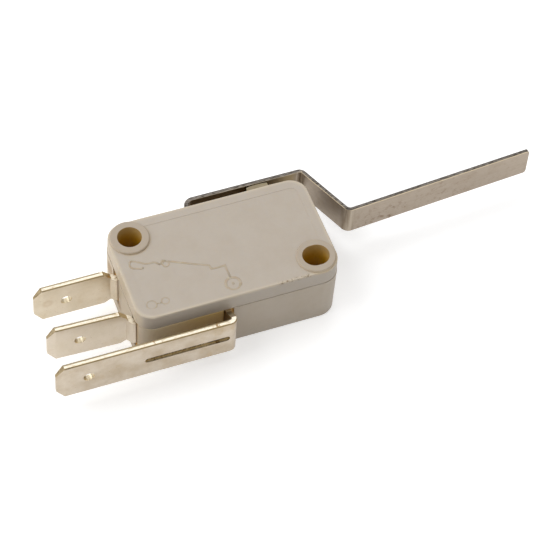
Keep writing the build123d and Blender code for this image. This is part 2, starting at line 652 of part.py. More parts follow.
def contact_arm():
    """The forked contact arm: its two prongs rock in the notches of the common terminal's post."""
    half = ARM_WIDTH / 2
    narrow = half - ARM_TIP_NARROWER
    end_x = ARM_PIVOT_X - RUNNING_GAP
    shape = [
        (ARM_TIP_X, -narrow),
        (ARM_TIP_X, narrow),
        (CONTACT_X + ARM_HEAD_LENGTH, narrow),
        (FORK_START_X - FORK_WIDEN_LENGTH, half),
        (end_x, half),
        (end_x, FORK_GAP / 2),
        (FORK_START_X, FORK_GAP / 2),
        (FORK_START_X, -FORK_GAP / 2),
        (end_x, -FORK_GAP / 2),
        (end_x, -half),
        (FORK_START_X - FORK_WIDEN_LENGTH, -half),
        (CONTACT_X + ARM_HEAD_LENGTH, -narrow),
    ]
    plate = extrude(make_face(Polyline(*shape, close=True)), amount=ARM_THICKNESS / 2, both=True)
    plate = Pos(0, ARM_Y, MID_Z) * Rot(90, 0, 0) * plate
    plate -= rod(CONTACT_X, MID_Z, SHANK_RADIUS + RIVET_SLIP, ARM_Y - 1, ARM_Y + 1)
    plate -= rod(SPRING_FIXED_X, MID_Z, SPRING_HOLE_RADIUS, ARM_Y - 1, ARM_Y + 1)
    edges = plate.edges().filter_by(Axis.Z).filter_by(lambda e: abs(e.center().X - end_x) < 0.01)
    return fillet(edges, ARM_THICKNESS / 2 - 0.01)


def rocker_slope():
    """Place and direction of the rocker's sloping end."""
    start = Vector(ROCKER_BEND_X, ROCKER_PLATE_Y)
    end = Vector(ROCKER_END_X, ROCKER_PLATE_Y - ROCKER_END_DROP)
    return start, end


def spring_anchor():
    """The point on the rocker's sloping end that the spring hooks into."""
    start, end = rocker_slope()
    share = (start.X - SPRING_MOVING_X) / (start.X - end.X)
    return start + (end - start) * share


def rocker():
    """The rocker: one strip, curled at its root, that the plunger's foot presses down."""
    start, end = rocker_slope()
    run = FilletPolyline(end, start, (ROCKER_PIVOT_X, ROCKER_PLATE_Y), radius=[0.5])
    curl = CenterArc((ROCKER_PIVOT_X, ROCKER_PIVOT_Y), ROCKER_CURL_RADIUS, 90, -250)
    low = MID_Z - ROCKER_WIDTH / 2
    plate = strip(run.edges() + curl.edges(), ROCKER_THICKNESS, low, low + ROCKER_WIDTH)
    anchor = spring_anchor()
    angle = math.degrees(math.atan2(start.Y - end.Y, start.X - end.X))
    place = Pos(anchor.X, anchor.Y, MID_Z) * Rot(0, 0, angle) * Rot(90, 0, 0)
    hole = place * Cylinder(SPRING_HOLE_RADIUS, 2)
    return plate - hole


def wire(line, twisting):
    """Spring wire along a line."""
    section = Plane(origin=line @ 0, z_dir=line % 0) * RegularPolygon(SPRING_WIRE_RADIUS, SPRING_WIRE_SIDES)
    return sweep(section, path=line, is_frenet=twisting)


def wire_leg(start, corner, end):
    """The spring's wire from the coil's end to its hook, with a knuckle where it joins the coil."""
    line = FilletPolyline(start, corner, end, radius=2 * SPRING_WIRE_RADIUS)
    knuckle = 1.1 * SPRING_WIRE_RADIUS
    return wire(line, False) + Pos(start) * Cylinder(knuckle, 2 * knuckle)


def snap_spring():
    """The tension spring between the contact arm and the rocker."""
    fixed = Vector(SPRING_FIXED_X, ARM_Y, MID_Z)
    moving = Vector(spring_anchor().X, spring_anchor().Y, MID_Z)
    along = (moving - fixed).normalized()
    middle = (fixed + moving) * 0.5
    start = middle - along * (SPRING_BODY_LENGTH / 2)
    frame = Plane(origin=start, x_dir=(0, 0, 1), z_dir=along)
    coil_line = Helix(SPRING_BODY_LENGTH / SPRING_TURNS, SPRING_BODY_LENGTH, SPRING_MEAN_RADIUS)
    coil = Location(frame) * wire(coil_line, True)
    first = (Location(frame) * Pos(*(coil_line @ 0))).position
    last = (Location(frame) * Pos(*(coil_line @ 1))).position
    up = Vector(0, SPRING_FIXED_HOOK, 0)
    across = Vector(-along.Y, along.X, 0) * SPRING_MOVING_HOOK
    return coil + wire_leg(first, fixed + up, fixed - up) + wire_leg(last, moving + across, moving - across)


PIECES = {
    "base_casing": base_casing,
    "cover": cover,
    "plunger": plunger,
    "lever": lever,
    "nc_terminal": nc_terminal,
    "no_terminal": no_terminal,
    "com_terminal": com_terminal,
    "nc_fixed_contact": lambda: fixed_contact(NC_INNER_Y, -1),
    "no_fixed_contact": lambda: fixed_contact(NO_INNER_Y, 1),
    "moving_contact": moving_contact,
    "contact_arm": contact_arm,
    "rocker": rocker,
    "snap_spring": snap_spring,
}

os.makedirs("parts", exist_ok=True)
for name, make in PIECES.items():
    export_step(make(), f"parts/{name}.step")
    print("wrote", name)
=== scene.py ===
import json
import math

import bmesh
import bpy
from mathutils import Matrix, Vector


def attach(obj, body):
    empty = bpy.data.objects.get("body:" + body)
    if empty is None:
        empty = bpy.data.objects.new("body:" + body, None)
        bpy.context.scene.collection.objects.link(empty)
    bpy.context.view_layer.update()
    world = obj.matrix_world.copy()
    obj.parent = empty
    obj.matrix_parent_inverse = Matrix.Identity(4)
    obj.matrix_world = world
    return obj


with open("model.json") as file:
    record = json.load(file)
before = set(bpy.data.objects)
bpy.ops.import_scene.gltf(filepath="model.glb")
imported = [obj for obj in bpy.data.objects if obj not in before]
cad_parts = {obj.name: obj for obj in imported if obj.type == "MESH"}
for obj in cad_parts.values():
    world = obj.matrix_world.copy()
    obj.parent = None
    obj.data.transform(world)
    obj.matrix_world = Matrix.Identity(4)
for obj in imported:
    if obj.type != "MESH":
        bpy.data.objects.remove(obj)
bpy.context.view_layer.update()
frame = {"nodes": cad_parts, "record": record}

MM = 0.001
MOUNTS = {mount["name"]: mount for mount in frame["record"]["mounts"]}


def mount_place(name):
    """Where a mount stands, in millimetres."""
    return tuple(round(value / MM, 4) for value in MOUNTS[name]["pos_m"])


def node_box(name):
    """The lowest and the highest corner of a CAD piece, in millimetres."""
    places = [vertex.co / MM for vertex in frame["nodes"][name].data.vertices]
    return [tuple(round(pick(place[i] for place in places), 4) for i in range(3)) for pick in (min, max)]


def line(start, run):
    """A line seen from above: its start, and its direction as a vector of length one."""
    length = math.hypot(*run)
    return start[:2], (run[0] / length, run[1] / length)


def srgb(red, green, blue):
    """A colour from 0 to 255 a channel, as the shaders want it."""
    def linear(value):
        value /= 255
        return value / 12.92 if value <= 0.04045 else ((value + 0.055) / 1.055) ** 2.4
    return (linear(red), linear(green), linear(blue), 1.0)


# Camera, in millimetres, degrees and pixels of the 550 x 550 picture
PICTURE_SIZE = 550
SENSOR_WIDTH = 36.0
CAMERA_AZIMUTH = -24.511
CAMERA_ELEVATION = 54.209
CAMERA_ROLL = 5.162
CAMERA_DISTANCE = 321.035
CAMERA_FOCAL_PIXELS = 2425.553
CAMERA_TARGET = (17.570, -8.173, 5.0)

# Studio, in metres, watts and shares of white
CAMERA_NEAREST = 0.01
CAMERA_FARTHEST = 10
FLOOR_REACH = 1.5
FLOOR_DROP = 0.00002
FLOOR_GLOW = 0.4
WORLD_STRENGTH = 0.56
WHITE = (1.0, 1.0, 1.0, 1.0)
FLOOR_WHITE = (0.9, 0.9, 0.9, 1.0)
LAMPS = {
    "key": {"azimuth": -108, "elevation": 47, "distance": 0.5, "size": 0.4, "power": 1.25},
    "back": {"azimuth": 160, "elevation": 50, "distance": 0.6, "size": 0.35, "power": 0.45},
}

# Casing, in millimetres like all that follows. Its walls lean in, so its edge is a little inside its box
HOLE_CENTRES = [mount_place("fixing_hole_round"), mount_place("fixing_hole_long")]
HOLE_RADIUS = MOUNTS["fixing_hole_round"]["dims"]["r_mm"]
BOSS_RADIUS = 2.62
BOSS_HEIGHT = 0.3
BASE_HEIGHT = 7.5
COVER_TOP = node_box("cover")[1][2] - BOSS_HEIGHT
PANEL_DROP = 0.03
WALL_LEAN = 0.05
CASING_LOW, CASING_HIGH = node_box("base_casing")
CASING_MIDDLE = [(low + high) / 2 for low, high in zip(CASING_LOW, CASING_HIGH)]
CASING_HALF = [(high - low) / 2 - WALL_LEAN for low, high in zip(CASING_LOW, CASING_HIGH)]
CASING_CORNER = 2.6
LEFT_X, FRONT_Y = CASING_LOW[:2]
MOUTH_Y = -11.75
# Points beside the holes, towards which the painted highlight at the bosses' feet is full
BOSS_LIT_CENTRES = [(x + 1.4, y - 2.2, z) for x, y, z in HOLE_CENTRES]

# Lever: the middle line of its strip along the casing, down the crank and along the arm
LEVER_THICKNESS = 0.5
LEVER_ARM_DEGREES = 4.1
LEVER_HIGH = node_box("lever")[1]
LEVER_TOP = LEVER_HIGH[2]
LEVER_RUN_Y = LEVER_HIGH[1] - LEVER_THICKNESS / 2
LEVER_KNEE = (26.3, LEVER_RUN_Y)
LEVER_CRANK = (3.7, -8.3)
LEVER_ELBOW = (LEVER_KNEE[0] + LEVER_CRANK[0], LEVER_KNEE[1] + LEVER_CRANK[1])
LEVER_ARM = (math.cos(math.radians(LEVER_ARM_DEGREES)), math.sin(math.radians(LEVER_ARM_DEGREES)))

# Blades: the way in which each runs, where it ends along X, and its pale and deep shades
BLADES = {
    "nc": ((1.0, 0.0), -4.9, srgb(214, 202, 182), srgb(204, 191, 168)),
    "no": ((10.75, -0.35), -4.9, srgb(213, 201, 184), srgb(205, 193, 173)),
    "com": ((1.0, 0.0), 8.6, srgb(205, 193, 176), srgb(184, 168, 145)),
}
BLADE_TOP = node_box("com_terminal")[1][2]
BLADE_MIDDLE_Z = mount_place("com_tab")[2]
DETENT_INSET = 4.35
BEAD_FACE_Y = node_box("com_terminal")[0][1]
BEAD_MIDDLE_X = 2.7
BEAD_HALF_LENGTH = 5.95
BEAD_HALF_WIDTH = 0.5

# Marks at one place: the middle, how far the mark reaches, and the radius in which it is full
# Painted amber light on the left wall near the blade roots
WALL_GLOW_PATCHES = [((-2.9, -0.9, 5.2), 1.9, 0.8), ((-2.95, -4.4, 2.4), 1.4, 0.3)]
# Painted reflections at the lever's bends
BEND_REFLECTIONS = [((26.4, 5.4, 0.0), 1.5, 0.5), ((29.9, -2.7, 0.0), 1.3, 0.4)]
BLADE_STAIN = ((-12.3, -3.45, 5.3), 0.95, 0.45)

# Marks along a stretch: where the mark starts, is full, fades and ends
SPECKS_X = (14.5, 16.5, 20.0, 21.5)
GLOW_X = (-3.4, -0.6, 8.0, 10.0)
ELBOW_STAIN_X = (30.5, 33.0, 37.0, 42.0)
ARM_STAIN_X = (40.0, 43.0, 46.0, 50.0)

# Marks that grow along an axis: where the mark is nothing, and where it is full
SPECKS_Y = (FRONT_Y + 0.8, FRONT_Y + 0.4)
GLOW_Y = (FRONT_Y + 1.7, FRONT_Y + 0.2)
GLOW_Z = (2.0, 4.2)
GLOW_AMBER_X = (-2.0, 6.0)
MOUTH_X = (LEFT_X + 0.35, LEFT_X + 0.15)
MOUTH_WIDTH = (0.8, 0.3)
BOSS_LIT_REACH = (4.6, 2.0)
ELBOW_STAIN_Z = (7.0, 4.0)
RUN_SHINE_X = (10.4, 11.4)
CRANK_SHINE_X = (25.5, 27.0)
REFLECTION_X = (25.8, 24.8)
REFLECTED_BEIGE_X = (19.0, 25.0)
TIP_BEVEL_X = (-12.6, -13.0)
HAZE_X = (2.0, 8.0)
NICKS_X = (-4.0, -1.0)
NICKS_Y = (-15.0, -15.2)
LEG_X = (8.0, 8.6)
LEG_Y = (-15.3, -14.9)

# The circuit sign on the cover: a hinged arm, a ring with a dot, and two faint rings with a link
RIDGE_WIDTH = 0.3
RIDGE_HEIGHT = 0.04
RIDGE_SINK = 0.02
RIDGE_STEPS = 8
SHARPEST_MITRE = 0.5
FINE_WIDTH = 0.2
FAINT_HEIGHT = 0.012
SIGN_LINES = [
    [(0.26, -5.0), (-0.08, -5.11), (-1.08, -4.72), (-1.41, -4.31), (-1.27, -3.78), (-0.96, -3.54)],
    [(-0.96, -3.54), (0.08, -4.1), (0.64, -4.49), (1.28, -4.63), (1.7, -4.57), (2.05, -4.76), (2.45, -5.2)],
    [(2.57, -5.24), (2.83, -4.76), (2.97, -4.68), (3.31, -4.89)],
    [
        (3.54, -5.01), (6.2, -6.27), (8.45, -7.31), (8.58, -7.93), (9.45, -7.98),
        (10.43, -7.95), (10.44, -10.05),
    ],
]
RING_CENTRE = (10.47, -11.0)
RING_RADIUS = 0.98
RING_WIDTH = 0.4
DOT_RADIUS = 0.12
HINGE_CENTRE = (3.18, -5.35)
HINGE_RADIUS = 0.42
FAINT_RINGS = [((1.25, -10.86), 0.5), ((-0.62, -10.95), 0.66)]
FAINT_LINE = [(0.12, -10.9), (0.45, -11.05), (0.72, -10.92)]
RING_STEPS = 40
SMALL_RING_STEPS = 24
DOT_STEPS = 12

# Settings of the shader that are the same all over a piece
PLASTIC = {"IOR": 1.5, "Subsurface Weight": 0.1, "Subsurface Scale": 0.001, "Roughness": 0.5}
CASING_PLASTIC = PLASTIC | {"Subsurface Radius": (1.0, 0.7, 0.35)}
IVORY_PLASTIC = PLASTIC | {
    "Subsurface Radius": (1.0, 0.7, 0.4),
    "Subsurface Weight": 0.15,
    "Roughness": 0.42,
}
METAL = {"Metallic": 1.0}
SWEEP = {"Base Color": FLOOR_WHITE, "Roughness": 0.9, "Specular IOR Level": 0.0, "Emission Color": WHITE}

# Colours of the plastic
COVER_BEIGE = srgb(189, 178, 164)
COVER_CLOUD = srgb(186, 174, 159)
TRAY_BEIGE = srgb(184, 172, 156)
TRAY_CLOUD = srgb(179, 166, 148)
# Painted highlight along the cover's top edge
EDGE_HIGHLIGHT_CREAM = srgb(212, 198, 174)
SPECK_BROWN = srgb(120, 94, 62)
# Painted highlight at the bosses' feet
BOSS_FOOT_HIGHLIGHT = srgb(208, 186, 150)
BOSS_TAN = srgb(170, 152, 128)
# Painted light on the wall towards -X
LEFT_WALL_LIGHT = srgb(214, 196, 168)
# Painted amber light near the blade roots
WALL_GLOW_AMBER = srgb(156, 120, 62)
# Inside the holes: the plastic's own amber, brightened with painted light through the plastic
HOLE_UPPER_AMBER_AND_GLOW = srgb(190, 160, 104)
HOLE_LOWER_AMBER_AND_GLOW = srgb(202, 158, 26)
# Painted light along the seam away from the front
SEAM_PAINTED_LIGHT = srgb(222, 208, 184)
SEAM_BROWN = srgb(140, 126, 108)
# Painted amber light in hidden insides, where light shows through the plastic
HIDDEN_AMBER_GLOW = srgb(242, 208, 134)
# Painted warm light reflected from the long blade onto the wall behind it
GLOW_CREAM = srgb(222, 206, 174)
GLOW_AMBER = srgb(218, 184, 112)
# Painted amber light at a blade's mouth
MOUTH_AMBER_GLOW = srgb(190, 152, 84)
SIGN_LIGHT = srgb(190, 171, 149)
SIGN_DARK = srgb(178, 158, 133)
# Ivory darkened with painted shade, as under the lever
SHADED_IVORY_PALE = srgb(158, 144, 114)
SHADED_IVORY_DEEP = srgb(146, 131, 101)

# Colours of the lever
NICKEL_DARK = srgb(154, 140, 124)
NICKEL_LIGHT = srgb(178, 165, 150)
NICKEL_CLOUD = srgb(146, 129, 108)
NICKEL_STAIN = srgb(108, 84, 58)
NICKEL_TORN_DARK = srgb(74, 68, 62)
NICKEL_TORN_LIGHT = srgb(142, 135, 127)
NICKEL_OUTER_RIM = srgb(72, 64, 56)
# Painted highlights along the lever's top rims
NICKEL_INNER_RIM_HIGHLIGHT = srgb(226, 208, 176)
NICKEL_FACE_RIM_HIGHLIGHT = srgb(222, 203, 168)
# Painted reflections of dark and bright bars at the lever's bends
BEND_REFLECTION_DARK = srgb(108, 88, 60)
BEND_REFLECTION_BRIGHT = srgb(196, 184, 166)
REFLECTED_AMBER = srgb(96, 75, 42)
REFLECTED_BEIGE = srgb(148, 130, 98)

# Colours of the blades
TIN_HAZE = srgb(182, 156, 112)
TIN_STAIN = srgb(162, 130, 84)
TIN_UPPER = srgb(164, 138, 92)
TIN_SPOT = srgb(128, 98, 56)
TIN_TORN_LIGHT = srgb(248, 240, 222)
TIN_TORN_DARK = srgb(196, 176, 140)
TIN_BACK_RIM = srgb(146, 128, 92)
TIN_FRONT_RIM = srgb(206, 174, 118)
TIN_NICK = srgb(146, 112, 62)
TIN_TIP_DARK = srgb(126, 106, 68)
TIN_TIP_LIGHT = srgb(176, 154, 112)
TIN_SHOULDER = srgb(222, 206, 166)
TIN_BEVEL = srgb(172, 146, 98)
# Painted light on the long blade's leg
TIN_LEG_LIGHT = srgb(240, 230, 208)
TIN_BORE = srgb(214, 200, 172)
# Painted shade and light in the long blade's groove
GROOVE_SHADE = srgb(48, 36, 16)
GROOVE_LIT_SIDE = srgb(186, 160, 108)
GROOVE_RIB = srgb(214, 192, 148)

# Metals of the pieces inside: two shades and a roughness
INNER_METALS = {
    "inner_nickel": (srgb(176, 170, 160), srgb(154, 146, 134), 0.26),
    "spring_wire": (srgb(150, 148, 146), srgb(126, 122, 118), 0.28),
    "arm_bronze": (srgb(206, 152, 104), srgb(188, 132, 86), 0.26),
    "contact_silver": (srgb(222, 220, 214), srgb(206, 202, 192), 0.22),
}
INNER_PIECES = {
    "rocker": "inner_nickel",
    "snap_spring": "spring_wire",
    "contact_arm": "arm_bronze",
    "moving_contact": "contact_silver",
    "nc_fixed_contact": "contact_silver",
    "no_fixed_contact": "contact_silver",
}


class Material:
    """A node material with a principled shader, and short calls for what goes into its inputs.

    Places are in millimetres along the frame's axes. A mask is a value from 0 to 1.
    """

    def __init__(self, name, settings):
        self.material = bpy.data.materials.new(name)
        self.material.use_nodes = True
        self.tree = self.material.node_tree
        self.shader = self.tree.nodes["Principled BSDF"]
        for socket, value in settings.items():
            self.put(socket, value)
        coordinates = self.tree.nodes.new("ShaderNodeTexCoord")
        self.place = self.scaled(coordinates.outputs["Object"], 1 / MM)
        self.plan = self.stretched((1.0, 1.0, 0.0))
        self.x, self.y, self.z = self.split(self.place)
        self.facing_x, self.facing_y, self.facing_z = self.split(coordinates.outputs["Normal"])
        self.colour = None

    def link(self, source, target):
        """Joins an output to an input, or sets the input where the source is a plain value."""
        if isinstance(source, bpy.types.NodeSocket):
            self.tree.links.new(source, target)
        else:
            target.default_value = source

    def put(self, socket, source):
        self.link(source, self.shader.inputs[socket])

    def math(self, operation, *values):
        node = self.tree.nodes.new("ShaderNodeMath")
        node.operation = operation
        for value, target in zip(values, node.inputs):
            self.link(value, target)
        return node.outputs[0]

    def add(self, first, second):
        return self.math("ADD", first, second)

    def minus(self, first, second):
        return self.math("SUBTRACT", first, second)

    def times(self, *values):
        product = values[0]
        for value in values[1:]:
            product = self.math("MULTIPLY", product, value)
        return product

    def absolute(self, value):
        return self.math("ABSOLUTE", value)

    def larger(self, first, second):
        return self.math("MAXIMUM", first, second)

    def smaller(self, first, second):
        return self.math("MINIMUM", first, second)

    def inverse(self, mask):
        return self.minus(1.0, mask)

    def varied(self, mask, low, high):
        """A mask turned into a factor from low to high."""
        return self.add(self.times(mask, high - low), low)

    def step(self, value, start, end):
        """0 up to start and 1 from end on, smoothly between. Start may be the larger one."""
        node = self.tree.nodes.new("ShaderNodeMapRange")
        node.interpolation_type = "SMOOTHSTEP"
        self.link(value, node.inputs["Value"])
        if start <= end:
            limits = (start, end, 0.0, 1.0)
        else:
            limits = (end, start, 1.0, 0.0)
        for socket, limit in zip(("From Min", "From Max", "To Min", "To Max"), limits):
            node.inputs[socket].default_value = limit
        return node.outputs[0]

    def band(self, value, start, full, fade, end):
        """1 from full to fade, and 0 before start and after end."""
        return self.times(self.step(value, start, full), self.step(value, end, fade))

    def split(self, vector):
        node = self.tree.nodes.new("ShaderNodeSeparateXYZ")
        self.link(vector, node.inputs[0])
        return tuple(node.outputs)

    def scaled(self, vector, factor):
        """A place or a colour multiplied by one factor."""
        node = self.tree.nodes.new("ShaderNodeVectorMath")
        node.operation = "SCALE"
        self.link(vector, node.inputs[0])
        self.link(factor, node.inputs["Scale"])
        return node.outputs["Vector"]

    def stretched(self, factors):
        """Places scaled along each axis, so that a pattern is longer along one of them."""
        node = self.tree.nodes.new("ShaderNodeVectorMath")
        node.operation = "MULTIPLY"
        self.link(self.place, node.inputs[0])
        self.link(factors, node.inputs[1])
        return node.outputs["Vector"]

    def turned(self, degrees, factors):
        """Places turned about Z and then scaled, for patterns that run at a slant."""
        node = self.tree.nodes.new("ShaderNodeMapping")
        node.inputs["Rotation"].default_value = (0.0, 0.0, math.radians(degrees))
        node.inputs["Scale"].default_value = factors
        self.link(self.place, node.inputs["Vector"])
        return node.outputs["Vector"]

    def distance(self, point, places=None):
        node = self.tree.nodes.new("ShaderNodeVectorMath")
        node.operation = "DISTANCE"
        self.link(places or self.place, node.inputs[0])
        self.link(point, node.inputs[1])
        return node.outputs["Value"]

    def patch(self, point, reach, core, places=None):
        """1 within core of a point, and 0 beyond reach."""
        return self.step(self.distance(point, places), reach, core)

    def rounded_box(self, middle, half, corner):
        """Distance from a rectangle with round corners, seen from above: negative inside it."""
        beyond = []
        for value, centre, reach in zip((self.x, self.y), middle, half):
            offset = self.absolute(self.minus(value, centre))
            beyond.append(self.minus(offset, reach - corner))
        squares = [self.math("POWER", self.larger(value, 0.0), 2.0) for value in beyond]
        outside = self.math("SQRT", self.add(*squares))
        inside = self.smaller(self.larger(*beyond), 0.0)
        return self.minus(self.add(outside, inside), corner)

    def across(self, start, way):
        """How far a place lies to the left of a line, seen from above."""
        along_x = self.times(self.minus(self.x, start[0]), -way[1])
        along_y = self.times(self.minus(self.y, start[1]), way[0])
        return self.add(along_x, along_y)

    def noise(self, size, detail=3.0, roughness=0.5, places=None, seed=0.0):
        """Noise from 0 to 1, with features about size millimetres across."""
        node = self.tree.nodes.new("ShaderNodeTexNoise")
        node.noise_dimensions = "4D"
        node.inputs["W"].default_value = seed
        node.inputs["Scale"].default_value = 1 / size
        node.inputs["Detail"].default_value = detail
        node.inputs["Roughness"].default_value = roughness
        self.link(places or self.place, node.inputs["Vector"])
        return node.outputs["Fac"]

    def blotches(self, start, end, size, **settings):
        """A mask of spots: 0 where the noise is under start, and 1 where it is over end."""
        return self.step(self.noise(size, **settings), start, end)

    def mix(self, share, first, second):
        """Colour first, with second over it by a share from 0 to 1."""
        node = self.tree.nodes.new("ShaderNodeMix")
        node.data_type = "RGBA"
        self.link(share, node.inputs["Factor"])
        self.link(first, node.inputs["A"])
        self.link(second, node.inputs["B"])
        return node.outputs["Result"]

    def tint(self, mask, colour, strength=1.0):
        """Lays a colour over the surface's own where the mask is."""
        self.colour = self.mix(self.times(mask, strength), self.colour, colour)

    def bump(self, height, depth):
        """Relief whose full height is depth millimetres."""
        node = self.tree.nodes.new("ShaderNodeBump")
        node.inputs["Distance"].default_value = depth * MM
        self.link(height, node.inputs["Height"])
        self.put("Normal", node.outputs["Normal"])


class CasingPlastic(Material):
    """Matt moulded plastic, with the marks and the painted light that the cover and the tray share."""

    def __init__(self, name, main, cloud):
        super().__init__(name, CASING_PLASTIC)
        self.border = self.rounded_box(CASING_MIDDLE, CASING_HALF, CASING_CORNER)
        self.nearest_hole = self.nearest(HOLE_CENTRES)
        self.grain = self.noise(0.35, 4.0, 0.65, seed=3.0)
        clouds = self.blotches(0.35, 0.7, size=3.0, detail=5.0, roughness=0.6)
        self.colour = self.scaled(self.mix(clouds, main, cloud), self.varied(self.grain, 0.965, 1.035))
        self.mark_edge_highlight_and_specks()
        self.mark_bosses()
        self.paint_left_wall_light()

    def nearest(self, centres):
        """Distance from the nearer of two upright axes."""
        return self.smaller(*[self.distance(centre, self.plan) for centre in centres])

    def mark_edge_highlight_and_specks(self):
        """The cover's top edge, with a painted cream highlight, and brown specks along its front."""
        edge = self.times(
            self.step(self.border, -0.6, -0.15),
            self.band(self.z, COVER_TOP - 0.4, COVER_TOP - 0.1, COVER_TOP + 0.02, COVER_TOP + 0.05),
        )
        # Painted highlight: cream light along the cover's top edge
        self.tint(edge, EDGE_HIGHLIGHT_CREAM, 0.5)
        specks = self.blotches(0.5, 0.6, size=0.4, roughness=0.7, seed=11.0)
        front = self.times(self.band(self.x, *SPECKS_X), self.step(self.y, *SPECKS_Y))
        self.tint(self.times(specks, edge, front), SPECK_BROWN, 0.8)

    def mark_bosses(self):
        """The bosses, a little darker than the panel, with a painted cream highlight at their feet, full on
        one side.
        """
        foot = self.times(
            self.step(self.nearest_hole, BOSS_RADIUS + 0.35, BOSS_RADIUS + 0.02),
            self.band(self.z, COVER_TOP - 0.5, COVER_TOP - 0.1, COVER_TOP + 0.2, COVER_TOP + 0.28),
        )
        # Painted highlight: cream light at the bosses' feet, lightening the shade of their walls, full on
        # one side
        lit_side = self.step(self.nearest(BOSS_LIT_CENTRES), *BOSS_LIT_REACH)
        self.tint(self.times(foot, lit_side), BOSS_FOOT_HIGHLIGHT, 0.5)
        boss = self.times(
            self.step(self.nearest_hole, BOSS_RADIUS + 0.1, BOSS_RADIUS),
            self.step(self.z, COVER_TOP + 0.15, COVER_TOP + 0.25),
        )
        self.tint(boss, BOSS_TAN, 0.45)

    def paint_left_wall_light(self):
        """The wall with the blades: made paler with painted light, and painted amber light near their
        roots.
        """
        # Painted light: the faces towards -X are made paler, as if lit from the left
        self.tint(self.step(self.facing_x, -0.6, -0.9), LEFT_WALL_LIGHT, 0.6)
        # Painted amber light near the blade roots, where light shows through the plastic
        stains_and_glow = self.larger(*[self.patch(*stain) for stain in WALL_GLOW_PATCHES])
        facing = self.step(self.facing_x, -0.3, -0.6)
        self.tint(self.times(stains_and_glow, facing, self.varied(self.grain, 0.4, 1.0)), WALL_GLOW_AMBER)

    def finish(self):
        """Amber inside the holes: the plastic's own amber with painted light through the plastic, richer
        lower down; then the roughness and the fine relief.
        """
        upright = self.step(self.absolute(self.facing_z), 0.5, 0.2)
        inside = self.times(self.step(self.nearest_hole, HOLE_RADIUS + 0.3, HOLE_RADIUS + 0.17), upright)
        # The holes' walls: the plastic's own amber, with painted light through the plastic
        depth = self.step(self.z, COVER_TOP + 0.2, BASE_HEIGHT)
        amber = self.mix(depth, HOLE_UPPER_AMBER_AND_GLOW, HOLE_LOWER_AMBER_AND_GLOW)
        amber = self.scaled(amber, self.varied(self.noise(0.9, 3.0, 0.6, seed=8.0), 0.85, 1.1))
        self.tint(inside, amber)
        self.put("Base Color", self.colour)
        self.put("Roughness", self.varied(self.noise(0.8, seed=7.0), 0.42, 0.6))
        fine = self.noise(0.12, 3.0, 0.6, seed=5.0)
        self.bump(self.add(self.times(self.grain, 0.4), fine), 0.006)
        return self.material


def cover_material():
    """The lid: its front a little darker with painted shade, its seam dark on the front and lightened by
    painted light elsewhere, and its hidden inside painted amber with light through the plastic.
    """
    m = CasingPlastic("cover_plastic", COVER_BEIGE, COVER_CLOUD)
    # Painted shade: the faces towards -Y are a tenth darker
    front = m.step(m.facing_y, -0.6, -0.9)
    m.colour = m.scaled(m.colour, m.inverse(m.times(front, 0.1)))
    # The seam: a dark joint on the front; elsewhere painted light lightens its shade
    seam = m.times(m.step(m.z, BASE_HEIGHT + 0.12, BASE_HEIGHT + 0.04), m.step(m.border, -0.3, -0.2))
    m.tint(seam, m.mix(front, SEAM_PAINTED_LIGHT, SEAM_BROWN), 0.5)
    # Painted amber light inside, where light shows through the plastic
    hidden = m.times(m.step(m.border, -0.2, -0.3), m.step(m.z, COVER_TOP - 0.5, COVER_TOP - 0.7))
    m.tint(hidden, HIDDEN_AMBER_GLOW)
    return m.finish()


def base_material():
    """The tray: warmer behind the long blade, with painted light reflected from it, and painted amber light
    through the plastic beside the blades and in its hidden inside.
    """
    m = CasingPlastic("base_plastic", TRAY_BEIGE, TRAY_CLOUD)
    # Painted light: warm light from the long blade, reflected onto the wall behind it
    behind = m.times(m.step(m.y, *GLOW_Y), m.band(m.x, *GLOW_X), m.step(m.z, *GLOW_Z))
    m.tint(behind, m.mix(m.step(m.x, *GLOW_AMBER_X), GLOW_CREAM, GLOW_AMBER), 0.85)
    # Painted amber light at the blade's mouth, where light shows through the plastic
    mouth = m.times(m.step(m.absolute(m.minus(m.y, MOUTH_Y)), *MOUTH_WIDTH), m.step(m.x, *MOUTH_X))
    m.tint(mouth, MOUTH_AMBER_GLOW, 0.6)
    # Painted amber light inside, where light shows through the plastic
    hidden = m.times(m.step(m.border, -0.14, -0.24), m.step(m.z, 0.02, 0.1))
    m.tint(hidden, HIDDEN_AMBER_GLOW)
    return m.finish()


def sign_material():
    """The raised lines of the circuit sign, a little browner than the panel around them."""
    m = Material("sign_plastic", PLASTIC)
    grain = m.noise(0.35, 4.0, 0.65, seed=3.0)
    colour = m.mix(m.blotches(0.3, 0.7, size=0.9), SIGN_LIGHT, SIGN_DARK)
    m.put("Base Color", m.scaled(colour, m.varied(grain, 0.97, 1.03)))
    m.bump(grain, 0.004)
    return m.material


def plunger_material():
    """Ivory plastic, softly clouded, and darkened with painted shade from the lever over it."""
    m = Material("plunger_shaded_ivory", IVORY_PLASTIC)
    grain = m.noise(0.4)
    colour = m.mix(m.blotches(0.3, 0.75, size=1.6), SHADED_IVORY_PALE, SHADED_IVORY_DEEP)
    m.put("Base Color", m.scaled(colour, m.varied(grain, 0.96, 1.04)))
    m.bump(grain, 0.004)
    return m.material


def lever_across(m):
    """How far a place lies outwards from the middle line of the lever's strip."""
    across = m.minus(m.y, LEVER_RUN_Y)
    for start, way in (line(LEVER_KNEE, LEVER_CRANK), line(LEVER_ELBOW, LEVER_ARM)):
        beyond = m.math("GREATER_THAN", m.x, start[0])
        across = m.add(m.times(across, m.inverse(beyond)), m.times(m.across(start, way), beyond))
    return across


